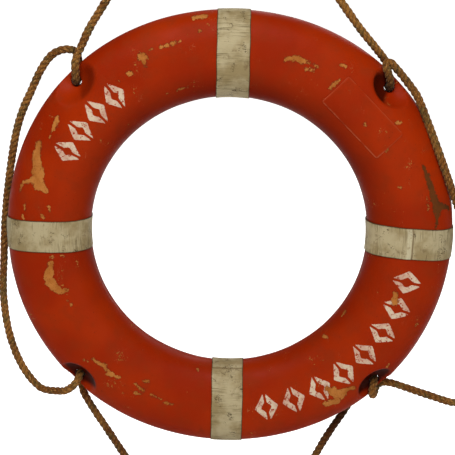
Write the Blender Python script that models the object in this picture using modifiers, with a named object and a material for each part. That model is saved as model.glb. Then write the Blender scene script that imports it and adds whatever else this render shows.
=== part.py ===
"""Ring lifebuoy with a grab line, hung by the top bight of its rope.

Metres, +Z up, front facing -Y. The origin is the hanging point: the underside of the top bight,
where a hook carries it. The ring's two shell halves meet at its mid-plane, foam fills them, four
tapes wrap them, and one rope runs through four rim holes and makes four loops.
"""

import math

import bmesh
import bpy
from mathutils import Euler, Matrix, Vector

# Ring: diameters, thickness and section
OUTER_DIAMETER = 0.750
INNER_DIAMETER = 0.466
THICKNESS = 0.100
SECTION_POWER = 2.3
RING_STEPS = 48
HALF_SECTION_STEPS = 9
MEAN_RADIUS = (OUTER_DIAMETER + INNER_DIAMETER) / 4
HALF_WIDTH = (OUTER_DIAMETER - INNER_DIAMETER) / 4
HALF_THICKNESS = THICKNESS / 2

# Shell and the fits between pieces
WALL = 0.0035
GAP = 0.0003
SEAM_HALF_GAP = 0.00015
VOID_OVERRUN = 0.004

# Scooped rope recesses at the four diagonals, each with a hole through its web
DIAGONALS = (45, 135, 225, 315)
RIM_FLAT_RADIUS = 0.3745
HOLE_CENTRE_RADIUS = 0.361
HOLE_RADIUS = 0.0085
SCOOP_CENTRE_RADIUS = 0.3745
SCOOP_CENTRE_DEPTH = 0.052
SCOOP_RADIAL = 0.038
SCOOP_TANGENTIAL = 0.044
SCOOP_AXIAL = 0.044
SCOOP_WALL = 0.004
WEB_OVERLAP = 0.006
# A small turn of each ellipsoid, so that none of its corners lies on an edge of the ring's facets
OFF_THE_FACETS = Euler((0.05, 0.03, 0.09)).to_matrix()

# Reflective tape and the label plate, both lying on the shell
TAPE_WIDTH = 0.054
TAPE_THICKNESS = 0.0010
SKIN_GAP = 0.0004
LABEL_LENGTH = 0.131
LABEL_INNER_RADIUS = 0.268
LABEL_OUTER_RADIUS = 0.327

# Plug that closes the foam filling hole in the back
PLUG_RADIUS = 0.011
PLUG_ANGLE = 250
PLUG_PROUD = 0.0006
PLUG_LENGTH = 0.0034

# Grab line
ROPE_DIAMETER = 0.014
LOOP_STEP = 0.027
HITCH_STEP = 0.006
END_STEP = 0.002
ROPE_GAP = 0.0012
WHIPPING_LENGTH = 0.016
WHIPPING_STEPS = 20
WHIPPING_BORE_RADIUS = 0.0081
WHIPPING_RADIUS = 0.0094
# Each end of the rope's short splice, as a number of route steps into the bottom loop
SPLICE_ENDS = {"whipping_right": 4.8, "whipping_left": 8.6}

# The ring's centre, seen from the hanging point
RING_CENTRE = Vector((0.022, 0.0, -0.6105))

# The rope's route in millimetres from the ring's centre. It is closed: each list runs on into the next.
ROPE_ROUTE = {
    "hitch_upper_left": (
        (-262, 8, 302.5),
        (-256.5, 14.5, 296.5),
        (-255.4, 20, 286),
        (-255.3, 21, 273),
        (-255.3, 14.8, 257.5),
        (-255.3, 0, 254.2),
        (-255.3, -14.8, 257.5),
        (-255.4, -21, 273),
        (-255.4, -20.6, 287),
        (-252, -14.5, 299.5),
    ),
    "grab_line_top": (
        (-246, -8, 313),
        (-237, -3, 334),
        (-227, 0, 352),
        (-206, 0, 386),
        (-172, 0, 442),
        (-133, 0, 496),
        (-93, 0, 548),
        (-45, 0, 604),
        (-22, 0, 616.5),
        (1, 0, 604),
        (47, 0, 547),
        (88, 0, 496),
        (130, 0, 444),
        (171, 0, 391),
        (204, 0, 348),
        (226, 1.5, 322.5),
    ),
    "hitch_upper_right": (
        (237.5, 6, 309),
        (247, 14, 297.5),
        (253.5, 19.8, 286.5),
        (255.3, 21, 273),
        (255.3, 14.8, 257.5),
        (255.3, 0, 254.2),
        (255.3, -14.8, 257.5),
        (254, -21.6, 270.5),
        (250, -24, 281.5),
        (246.5, -25, 290.5),
        (248, -24.5, 297.5),
        (254.5, -22, 296),
        (263, -19, 287.5),
        (272.5, -16.5, 277.5),
    ),
    "grab_line_right": (
        (286.5, -14.5, 260.8),
        (300, -15, 243),
        (319, -27, 201),
        (340, -35, 150),
        (362, -30, 96),
        (379, -16, 56),
        (393, -6, 10),
        (409, 0, -48),
        (424, 0, -110),
        (434, 0, -165),
        (441, 0, -215),
        (443, 0, -255),
        (437, 0, -284),
        (422, 0, -300),
        (400, 0, -302),
        (350, 0, -287.5),
        (311, 2, -275),
    ),
    "hitch_lower_right": (
        (288, 6.5, -269.5),
        (274.5, 12.5, -270.5),
        (263.5, 14.5, -277.5),
        (259.5, 4, -284.3),
        (255.3, -9.5, -285.6),
        (251.5, -20, -279.5),
        (252, -22.8, -268.5),
        (255, -15, -257.5),
        (255.3, 0, -254.2),
        (254.6, 15, -257.1),
        (250.3, 24.8, -270.3),
        (243.5, 32.5, -283),
        (233, 32, -296.5),
        (221, 23.5, -310),
    ),
    "grab_line_bottom": (
        (206.5, 11, -328),
        (189, 3, -352),
        (173, 0, -379),
        (159, 0, -407),
        (137, 0, -449),
        (104, 0, -487),
        (62, 0, -512),
        (15, 0, -523),
        (-32, 0, -522),
        (-82, 0, -508),
        (-124, 0, -484),
        (-156, 0, -452),
        (-182, 0, -411),
        (-208, 0.5, -369),
        (-231, 3.5, -334),
    ),
    "hitch_lower_left": (
        (-246.5, 10, -311),
        (-254.5, 17.5, -297),
        (-256, 21.2, -285),
        (-255.3, 21, -272.5),
        (-255.3, 14.8, -257.5),
        (-255.3, 0, -254.2),
        (-255.8, -14.8, -257.5),
        (-260, -21.4, -266),
        (-268.5, -22, -276),
        (-280, -16.5, -285.5),
    ),
    "grab_line_left": (
        (-297, -7, -291),
        (-325, 0, -289),
        (-354, 2, -256),
        (-377, 6, -201),
        (-389, 14, -128),
        (-388, 23, -56),
        (-384, 26, 15),
        (-372, 20, 102),
        (-354, 11, 183),
        (-330, 7, 239),
        (-312, 5, 275),
        (-295, 4, 296),
        (-277, 4.5, 304),
    ),
}

COLOURS = {
    "shell": ((0.56, 0.08, 0.02, 1), 0.35),
    "foam": ((0.80, 0.66, 0.40, 1), 0.9),
    "tape": ((0.66, 0.63, 0.55, 1), 0.5),
    "plug": ((0.50, 0.08, 0.03, 1), 0.5),
    "rope": ((0.30, 0.17, 0.07, 1), 0.95),
    "twine": ((0.42, 0.33, 0.20, 1), 0.9),
}


def clear_scene():
    for item in list(bpy.data.objects):
        bpy.data.objects.remove(item, do_unlink=True)


def new_collection(name):
    collection = bpy.data.collections.new(name)
    bpy.context.scene.collection.children.link(collection)
    return collection


def material(name, kind):
    colour, roughness = COLOURS[kind]
    made = bpy.data.materials.new(name + "_material")
    made.use_nodes = True
    shader = made.node_tree.nodes["Principled BSDF"]
    shader.inputs["Base Color"].default_value = colour
    shader.inputs["Roughness"].default_value = roughness
    shader.inputs["Metallic"].default_value = 0.0
    return made


def add_object(name, data, collection, kind=None):
    item = bpy.data.objects.new(name, data)
    collection.objects.link(item)
    if kind:
        data.materials.append(material(name, kind))
    else:
        item.hide_render = True
        item.display_type = "WIRE"
    return item


def mesh_from_bmesh(name, work):
    mesh = bpy.data.meshes.new(name)
    work.to_mesh(mesh)
    work.free()
    return mesh


def signed_power(value, power):
    return math.copysign(abs(value) ** power, value)


def section_point(angle, offset):
    """A point of the ring's section, as (radius, depth towards the front), grown by offset."""
    across = signed_power(math.cos(angle), 2 / SECTION_POWER) * (HALF_WIDTH + offset)
    depth = signed_power(math.sin(angle), 2 / SECTION_POWER) * (HALF_THICKNESS + offset)
    return MEAN_RADIUS + across, depth


def full_section(offset):
    count = 2 * HALF_SECTION_STEPS
    return [section_point(-math.pi * n / HALF_SECTION_STEPS, offset) for n in range(count)]


def half_section(offset, base):
    """The front half of the section, closed along the line where depth is base, at or past the mid-plane."""
    angles = [math.pi * n / HALF_SECTION_STEPS for n in range(HALF_SECTION_STEPS + 1)]
    points = [section_point(angle, offset) for angle in angles]
    if base < 0:
        return [(points[-1][0], base)] + points[::-1] + [(points[0][0], base)]
    points[0] = (points[0][0], base)
    points[-1] = (points[-1][0], base)
    return points[::-1]


def turned_ring(name, outline, collection, kind=None, front=True):
    """Turns a closed outline round the ring's axis, which is the world's Y."""
    mesh = bpy.data.meshes.new(name)
    verts = [(radius, 0.0, depth) for radius, depth in outline]
    edges = [(n, (n + 1) % len(verts)) for n in range(len(verts))]
    mesh.from_pydata(verts, edges, [])
    item = add_object(name, mesh, collection, kind)
    item.location = RING_CENTRE
    item.rotation_euler = (math.radians(90 if front else -90), 0, 0)
    screw = item.modifiers.new("turn", "SCREW")
    screw.steps = RING_STEPS
    screw.render_steps = RING_STEPS
    screw.use_merge_vertices = True
    screw.merge_threshold = 0.0001
    return item


def cut(item, cutter, operation="DIFFERENCE"):
    boolean = item.modifiers.new(cutter.name, "BOOLEAN")
    boolean.operation = operation
    boolean.object = cutter
    boolean.solver = "EXACT"


def box(name, low, high, collection, angle=0.0):
    """A box given in the ring's own frame, turned by angle degrees about the ring's axis."""
    work = bmesh.new()
    bmesh.ops.create_cube(work, size=1.0)
    middle = (Vector(low) + Vector(high)) / 2
    size = Vector(high) - Vector(low)
    for vert in work.verts:
        vert.co = Vector(a * b for a, b in zip(vert.co, size)) + middle
    item = add_object(name, mesh_from_bmesh(name, work), collection)
    item.location = RING_CENTRE
    item.rotation_euler = (0, -math.radians(angle), 0)
    return item


def ellipsoid(work, centre, sizes, angle):
    """Adds one ellipsoid at a radius and depth along the diagonal at this angle."""
    made = bmesh.ops.create_uvsphere(work, u_segments=16, v_segments=8, radius=1.0)
    bmesh.ops.rotate(work, verts=made["verts"], matrix=OFF_THE_FACETS)
    turn = math.radians(angle)
    radial = Vector((math.cos(turn), 0, math.sin(turn)))
    tangent = Vector((math.sin(turn), 0, -math.cos(turn)))
    for vert in made["verts"]:
        x, y, z = vert.co
        vert.co = radial * (centre[0] + x * sizes[0]) + tangent * (y * sizes[1])
        vert.co.y = centre[1] + z * sizes[2]


def scoops(name, side, grow, axial, collection):
    """The four ellipsoids of the rope recesses on one side, -1 in front or 1 behind."""
    work = bmesh.new()
    for angle in DIAGONALS:
        centre = (SCOOP_CENTRE_RADIUS, side * SCOOP_CENTRE_DEPTH)
        ellipsoid(work, centre, (SCOOP_RADIAL + grow, SCOOP_TANGENTIAL + grow, axial), angle)
    item = add_object(name, mesh_from_bmesh(name, work), collection)
    item.location = RING_CENTRE
    return item


def rim_cylinders(name, radius, collection):
    """Four cylinders along the ring's axis, one on each rope hole."""
    work = bmesh.new()
    for angle in DIAGONALS:
        turn = math.radians(angle)
        made = bmesh.ops.create_cone(
            work, cap_ends=True, segments=20, radius1=radius, radius2=radius, depth=2 * THICKNESS
        )
        bmesh.ops.rotate(work, verts=made["verts"], matrix=Matrix.Rotation(math.radians(angle + 4), 3, "Z"))
        for vert in made["verts"]:
            x, y, z = vert.co
            vert.co = (HOLE_CENTRE_RADIUS * math.cos(turn) + x, z, HOLE_CENTRE_RADIUS * math.sin(turn) - y)
    item = add_object(name, mesh_from_bmesh(name, work), collection)
    item.location = RING_CENTRE
    return item


def rim_flats(name, radius, reach, collection):
    """Four boxes outside the chords that flatten the rim at the rope holes."""
    return [
        box(f"{name}_{angle}", (radius, -THICKNESS, -reach), (0.420, THICKNESS, reach), collection, angle)
        for angle in DIAGONALS
    ]


def carve_void(item, grow, cutters):
    """Keeps the hollow inside the shell away from the recesses, the hole webs and the rim flats."""
    for side, where in ((-1, "front"), (1, "back")):
        axial = SCOOP_CENTRE_DEPTH + WEB_OVERLAP + grow
        cut(item, scoops(f"{item.name}_scoops_{where}", side, SCOOP_WALL + grow, axial, cutters))
    cut(item, rim_cylinders(item.name + "_bosses", HOLE_RADIUS + SCOOP_WALL + grow, cutters))
    for flat in rim_flats(item.name + "_flat", RIM_FLAT_RADIUS - WALL - grow, 0.060, cutters):
        cut(item, flat)


def shell_half(name, front, parts, cutters):
    """One moulded half: a solid half ring, less the recesses, the holes and the hollow inside."""
    half = turned_ring(name, half_section(0.0, SEAM_HALF_GAP), parts, "shell", front)
    cut(half, bpy.data.objects["recess_scoops_front" if front else "recess_scoops_back"])
    cut(half, bpy.data.objects["rope_holes"])
    for angle in DIAGONALS:
        cut(half, bpy.data.objects[f"rim_flat_{angle}"])
    void = turned_ring(name + "_void", half_section(-WALL, -VOID_OVERRUN), cutters, None, front)
    carve_void(void, 0.0, cutters)
    cut(half, void)
    return half


def foam_core(parts, cutters):
    core = turned_ring("foam_core", full_section(-WALL - GAP), parts, "foam")
    carve_void(core, GAP, cutters)


def skin(name, kind, region, parts, cutters):
    """A thin sheet that lies on the shell, inside the region's box."""
    outside = turned_ring(name, full_section(SKIN_GAP + TAPE_THICKNESS), parts, kind)
    cut(outside, region, "INTERSECT")
    cut(outside, bpy.data.objects["skin_bed"])


def tape_bands(parts, cutters):
    for name, angle in (("right", 0), ("top", 90), ("left", 180), ("bottom", 270)):
        half = TAPE_WIDTH / 2
        low, high = (0.150, -THICKNESS, -half), (0.450, THICKNESS, half)
        region = box(f"tape_region_{name}", low, high, cutters, angle)
        skin("tape_band_" + name, "tape", region, parts, cutters)


def label_plate(parts, cutters):
    half = LABEL_LENGTH / 2
    low = (LABEL_INNER_RADIUS, -THICKNESS, -half)
    high = (LABEL_OUTER_RADIUS, -0.010, half)
    skin("label_plate", "shell", box("label_region", low, high, cutters, 45), parts, cutters)


def cylinder_along_y(name, radius, length, centre, segments, collection, kind=None):
    work = bmesh.new()
    bmesh.ops.create_cone(
        work, cap_ends=True, segments=segments, radius1=radius, radius2=radius, depth=length
    )
    item = add_object(name, mesh_from_bmesh(name, work), collection, kind)
    item.location = centre
    item.rotation_euler = (math.radians(90), 0, 0)
    return item


def filling_plug(back, parts, cutters):
    turn = math.radians(PLUG_ANGLE)
    crown = section_point(math.radians(80), 0.0)[1]
    place = RING_CENTRE + Vector((math.cos(turn), 0, math.sin(turn))) * MEAN_RADIUS
    middle = place + Vector((0, crown + PLUG_PROUD - PLUG_LENGTH / 2, 0))
    cylinder_along_y("filling_plug", PLUG_RADIUS, PLUG_LENGTH, middle, 24, parts, "plug")
    cut(back, cylinder_along_y("plug_hole", PLUG_RADIUS + GAP, 0.020, middle, 24, cutters))


def closed_route():
    """All route points in metres, and the index at which each piece of the route starts."""
    points, starts = [], {}
    for name, stretch in ROPE_ROUTE.items():
        starts[name] = len(points)
        points += [RING_CENTRE + Vector(point) / 1000 for point in stretch]
    return points, starts


def smooth_point(points, at):
    """The point at a fractional index on the smooth closed curve through all the points."""
    first = math.floor(at)
    part = at - first
    before, here, after, beyond = (points[(first + k) % len(points)] for k in (-1, 0, 1, 2))
    knots = [0.0]
    for start, end in ((before, here), (here, after), (after, beyond)):
        knots.append(knots[-1] + math.sqrt((end - start).length))
    k0, k1, k2, k3 = knots
    t = k1 + part * (k2 - k1)
    a = (before * (k1 - t) + here * (t - k0)) / (k1 - k0)
    b = (here * (k2 - t) + after * (t - k1)) / (k2 - k1)
    c = (after * (k3 - t) + beyond * (t - k2)) / (k3 - k2)
    d = (a * (k2 - t) + b * (t - k0)) / (k2 - k0)
    e = (b * (k3 - t) + c * (t - k1)) / (k3 - k1)
    return (d * (k2 - t) + e * (t - k1)) / (k2 - k1)


def evenly_spaced(dense, step, trim):
    """Points a step apart along the dense line, which is first shortened by trim at both ends.

    A short first and last step keep the end faces square to the line."""
    travelled = [0.0]
    for start, end in zip(dense, dense[1:]):
        travelled.append(travelled[-1] + (end - start).length)
    first, last = trim + END_STEP, travelled[-1] - trim - END_STEP
    count = round((last - first) / step)
    places = [first + (last - first) * k / count for k in range(count + 1)]
    found, n = [], 0
    for wanted in [trim, *places, travelled[-1] - trim]:
        while travelled[n + 1] < wanted and n < len(dense) - 2:
            n += 1
        share = (wanted - travelled[n]) / (travelled[n + 1] - travelled[n])
        found.append(dense[n].lerp(dense[n + 1], share))
    return found


def rope_tube(name, route, kind, diameter, parts):
    curve = bpy.data.curves.new(name, "CURVE")
    curve.dimensions = "3D"
    curve.bevel_depth = diameter / 2
    curve.bevel_resolution = 2
    curve.use_fill_caps = True
    spline = curve.splines.new("POLY")
    spline.points.add(len(route) - 1)
    for point, place in zip(spline.points, route):
        point.co = (*place, 1.0)
    return add_object(name, curve, parts, kind)


def grab_line(parts):
    """Each piece of the rope runs from half a route step before its list to half a step after it."""
    points, starts = closed_route()
    for name, stretch in ROPE_ROUTE.items():
        first = starts[name] - 0.5
        samples = 12 * len(stretch)
        dense = [smooth_point(points, first + len(stretch) * k / samples) for k in range(samples + 1)]
        step = HITCH_STEP if name.startswith("hitch") else LOOP_STEP
        rope_tube(name, evenly_spaced(dense, step, ROPE_GAP / 2), "rope", ROPE_DIAMETER, parts)


def twine_whippings(parts):
    """Bands of twine at the two ends of the splice that closes the rope."""
    points, starts = closed_route()
    for name, steps in SPLICE_ENDS.items():
        at = starts["grab_line_bottom"] + steps
        along = smooth_point(points, at + 0.2) - smooth_point(points, at - 0.2)
        half = WHIPPING_LENGTH / 2
        inner, outer = WHIPPING_BORE_RADIUS, WHIPPING_RADIUS
        outline = [(outer, half), (outer, -half), (inner, -half), (inner, half)]
        band = turned_ring(name, outline, parts, "twine")
        band.modifiers["turn"].steps = WHIPPING_STEPS
        band.modifiers["turn"].render_steps = WHIPPING_STEPS
        band.location = smooth_point(points, at)
        band.rotation_euler = along.to_track_quat("Z", "Y").to_euler()


def main():
    clear_scene()
    parts = new_collection("ring_lifebuoy")
    cutters = new_collection("cutters")
    scoops("recess_scoops_front", -1, 0.0, SCOOP_AXIAL, cutters)
    scoops("recess_scoops_back", 1, 0.0, SCOOP_AXIAL, cutters)
    rim_cylinders("rope_holes", HOLE_RADIUS, cutters)
    rim_flats("rim_flat", RIM_FLAT_RADIUS, 0.110, cutters)
    turned_ring("skin_bed", full_section(SKIN_GAP), cutters)
    shell_half("shell_front", True, parts, cutters)
    back = shell_half("shell_back", False, parts, cutters)
    filling_plug(back, parts, cutters)
    foam_core(parts, cutters)
    tape_bands(parts, cutters)
    label_plate(parts, cutters)
    grab_line(parts)
    twine_whippings(parts)


main()
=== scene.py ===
"""Looks of a worn ring lifebuoy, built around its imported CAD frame.

Metres, +Z up, the front facing -Y. The origin is the hanging point of the rope's top bight.
Ring places are given as an angle round the ring, in degrees from +X towards +Z, and a radius.
"""

import math

import bpy
import numpy as np
from mathutils import Matrix, Quaternion, Vector, noise

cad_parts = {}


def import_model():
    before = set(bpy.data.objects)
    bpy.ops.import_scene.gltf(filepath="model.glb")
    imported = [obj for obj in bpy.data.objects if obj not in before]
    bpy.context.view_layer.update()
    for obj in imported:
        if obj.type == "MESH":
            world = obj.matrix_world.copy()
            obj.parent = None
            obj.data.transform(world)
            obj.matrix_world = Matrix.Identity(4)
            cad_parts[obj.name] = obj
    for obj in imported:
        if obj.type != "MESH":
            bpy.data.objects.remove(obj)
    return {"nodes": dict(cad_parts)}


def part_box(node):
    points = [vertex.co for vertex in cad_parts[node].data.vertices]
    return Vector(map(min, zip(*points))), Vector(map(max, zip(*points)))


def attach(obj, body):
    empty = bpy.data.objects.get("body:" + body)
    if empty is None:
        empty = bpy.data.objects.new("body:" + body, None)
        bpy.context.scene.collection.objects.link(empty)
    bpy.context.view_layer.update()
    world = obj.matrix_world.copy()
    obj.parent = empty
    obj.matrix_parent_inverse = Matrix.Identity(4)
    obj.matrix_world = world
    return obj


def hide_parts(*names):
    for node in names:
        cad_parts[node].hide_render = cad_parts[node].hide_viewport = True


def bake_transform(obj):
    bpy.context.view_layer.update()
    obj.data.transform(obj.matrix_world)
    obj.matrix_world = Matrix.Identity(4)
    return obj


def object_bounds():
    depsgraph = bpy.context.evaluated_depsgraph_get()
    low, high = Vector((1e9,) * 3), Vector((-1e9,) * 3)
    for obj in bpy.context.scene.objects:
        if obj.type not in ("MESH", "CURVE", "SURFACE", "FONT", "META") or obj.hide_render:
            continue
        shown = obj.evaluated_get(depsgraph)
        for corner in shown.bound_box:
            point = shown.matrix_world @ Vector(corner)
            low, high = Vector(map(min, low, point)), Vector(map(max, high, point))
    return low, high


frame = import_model()
CAD_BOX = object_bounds()

# The ring, from the frame and from the CAD part's own section
FRONT_LOW, FRONT_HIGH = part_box("shell_front")
CENTRE = Vector(((FRONT_LOW.x + FRONT_HIGH.x) / 2, 0.0, (FRONT_LOW.z + FRONT_HIGH.z) / 2))
OUTER_RADIUS = (FRONT_HIGH.x - FRONT_LOW.x) / 2
HALF_WIDTH = 0.071
MEAN_RADIUS = OUTER_RADIUS - HALF_WIDTH
HALF_THICKNESS = -FRONT_LOW.y
SECTION_POWER = 2.3
WALL = 0.0035
SEAM_HALF_GAP = 0.00015

# Rope recesses at the diagonals
DIAGONALS = (45, 135, 225, 315)
RIM_FLAT_RADIUS = 0.3745
HOLE_CENTRE_RADIUS = 0.361
HOLE_RADIUS = 0.0085
SCOOP_CENTRE_RADIUS = 0.3745
SCOOP_CENTRE_DEPTH = 0.052
SCOOP_SIZES = (0.038, 0.044, 0.044)
SCOOP_WALL = 0.004
WEB_OVERLAP = 0.006
LIP_ROUNDING = 0.0035
WORN_LIP = 0.011

# Each recess's painted shade, counterclockwise from upper right: how dark, the side of the hole it
# lies on as an angle, and how far past the hole it starts
RECESS_SHADE = ((0.86, 150, -0.004), (0.35, 20, 0.000), (0.88, 80, -0.016), (0.92, 100, -0.018))

# Between the tight tapes the tube's rim swells, more at the top, and the opening sits off centre
RIM_SWELL = (0.0017, 0.0036)
OPENING_SHIFT = 0.0020
OPENING_TURN = 20

# Half the angle by which a band wrapped askew turns between its inner and outer edge
TAPE_SKEW = {"tape_band_right": -0.013}

# The opening's side of the tube gets painted shade, darkest at this ring angle
PAINTED_SHADE_TOP = 78

# Shell meshes
SWEEP_STEPS = 900
OUTER_STEPS = 78
INNER_STEPS = 26
DENT_HEIGHT = 0.0006
FAR = 10.0

# Tapes and label
SKIN_GAP = 0.0004
TAPE_WIDTH = 0.054
TAPE_THICKNESS = 0.0010
TAPE_LAP_HEIGHT = 0.0006
TAPE_STEPS = 340
TAPE_COLUMNS = 21
LAP_SHADE = 0.8
FRESH_LAP = {"tape_band_right": 0.5}
FAINT_LAP = 0.12
# Each band's ring angle, its lap's two ends as section angles, and its noise seed
TAPES = {
    "tape_band_right": (0, (91, 215), 3),
    "tape_band_top": (90, (-60, -20), 7),
    "tape_band_left": (180, (-110, -70), 11),
    "tape_band_bottom": (270, (161, 215), 19),
}
LABEL_ANGLE = 45
LABEL_HALF_LENGTH = 0.0655
LABEL_INNER_RADIUS = 0.268
LABEL_OUTER_RADIUS = 0.327
LABEL_CORNER = 0.004
LABEL_ROWS = 84
LABEL_COLUMNS = 40

# Rope
ROPE_STEP = 0.0015
ROPE_LAY = 0.029
STRANDS = 3
STRAND_OFFSET = 0.0022
STRAND_RADIUS = 0.0047
POINTS_A_STRAND = 12
SPLICE_SWELL = 0.12
WHIPPING_PINCH = 0.10
TWINE_RADIUS = 0.0006
WHIPPING_LENGTH = 0.016
WHIPPING_CORE = 0.0086
TWINE_SIDES = 10
TWINE_STEPS_A_TURN = 30
TWINE_SPACING = 1.9

# The rope's route in millimetres from the ring's centre. It is closed: each list runs on into the next.
ROPE_ROUTE = {
    "hitch_upper_left": (
        (-262, 8, 302.5),
        (-256.5, 14.5, 296.5),
        (-255.4, 20, 286),
        (-255.3, 21, 273),
        (-255.3, 14.8, 257.5),
        (-255.3, 0, 254.2),
        (-255.3, -14.8, 257.5),
        (-255.4, -21, 273),
        (-255.4, -20.6, 287),
        (-252, -14.5, 299.5),
    ),
    "grab_line_top": (
        (-246, -8, 313),
        (-237, -3, 334),
        (-227, 0, 352),
        (-206, 0, 386),
        (-172, 0, 442),
        (-133, 0, 496),
        (-93, 0, 548),
        (-45, 0, 604),
        (-22, 0, 616.5),
        (1, 0, 604),
        (47, 0, 547),
        (88, 0, 496),
        (130, 0, 444),
        (171, 0, 391),
        (204, 0, 348),
        (226, 1.5, 322.5),
    ),
    "hitch_upper_right": (
        (237.5, 6, 309),
        (247, 14, 297.5),
        (253.5, 19.8, 286.5),
        (255.3, 21, 273),
        (255.3, 14.8, 257.5),
        (255.3, 0, 254.2),
        (255.3, -14.8, 257.5),
        (254, -21.6, 270.5),
        (250, -24, 281.5),
        (246.5, -25, 290.5),
        (248, -24.5, 297.5),
        (254.5, -22, 296),
        (263, -19, 287.5),
        (272.5, -16.5, 277.5),
    ),
    "grab_line_right": (
        (286.5, -14.5, 260.8),
        (300, -15, 243),
        (319, -27, 201),
        (340, -35, 150),
        (362, -30, 96),
        (379, -16, 56),
        (393, -6, 10),
        (409, 0, -48),
        (424, 0, -110),
        (434, 0, -165),
        (441, 0, -215),
        (443, 0, -255),
        (437, 0, -284),
        (422, 0, -300),
        (400, 0, -302),
        (350, 0, -287.5),
        (311, 2, -275),
    ),
    "hitch_lower_right": (
        (288, 6.5, -269.5),
        (274.5, 12.5, -270.5),
        (263.5, 14.5, -277.5),
        (259.5, 4, -284.3),
        (255.3, -9.5, -285.6),
        (251.5, -20, -279.5),
        (252, -22.8, -268.5),
        (255, -15, -257.5),
        (255.3, 0, -254.2),
        (254.6, 15, -257.1),
        (250.3, 24.8, -270.3),
        (243.5, 32.5, -283),
        (233, 32, -296.5),
        (221, 23.5, -310),
    ),
    "grab_line_bottom": (
        (206.5, 11, -328),
        (189, 3, -352),
        (173, 0, -379),
        (159, 0, -407),
        (137, 0, -449),
        (104, 0, -487),
        (62, 0, -512),
        (15, 0, -523),
        (-32, 0, -522),
        (-82, 0, -508),
        (-124, 0, -484),
        (-156, 0, -452),
        (-182, 0, -411),
        (-208, 0.5, -369),
        (-231, 3.5, -334),
    ),
    "hitch_lower_left": (
        (-246.5, 10, -311),
        (-254.5, 17.5, -297),
        (-256, 21.2, -285),
        (-255.3, 21, -272.5),
        (-255.3, 14.8, -257.5),
        (-255.3, 0, -254.2),
        (-255.8, -14.8, -257.5),
        (-260, -21.4, -266),
        (-268.5, -22, -276),
        (-280, -16.5, -285.5),
    ),
    "grab_line_left": (
        (-297, -7, -291),
        (-325, 0, -289),
        (-354, 2, -256),
        (-377, 6, -201),
        (-389, 14, -128),
        (-388, 23, -56),
        (-384, 26, 15),
        (-372, 20, 102),
        (-354, 11, 183),
        (-330, 7, 239),
        (-312, 5, 275),
        (-295, 4, 296),
        (-277, 4.5, 304),
    ),
}
# How much painted shade darkens the rope at each hole, and over what distance
ROPE_HOLE_SHADE = {
    "hitch_upper_left": (0.45, 0.026),
    "hitch_upper_right": (0.80, 0.034),
    "hitch_lower_right": (0.80, 0.014),
    "hitch_lower_left": (0.60, 0.012),
}
# Where each hole's middle is in its hitch's list
HOLE_PLACES = {
    "hitch_upper_left": 5,
    "hitch_upper_right": 5,
    "hitch_lower_right": 8,
    "hitch_lower_left": 5,
}
# Each rope piece: the hitch it starts in, the loop, the hitch it ends in, and its body.
ROPE_PIECES = {
    "rope_top": ("hitch_upper_left", "grab_line_top", "hitch_upper_right", "top_bight"),
    "rope_right": ("hitch_upper_right", "grab_line_right", "hitch_lower_right", "right_bight"),
    "rope_bottom": ("hitch_lower_right", "grab_line_bottom", "hitch_lower_left", "bottom_bight"),
    "rope_left": ("hitch_lower_left", "grab_line_left", "hitch_upper_left", "left_bight"),
}
# The two ends of the splice, as route steps into the bottom loop
SPLICE_ENDS = {"whipping_right": 4.8, "whipping_left": 8.6}

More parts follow.
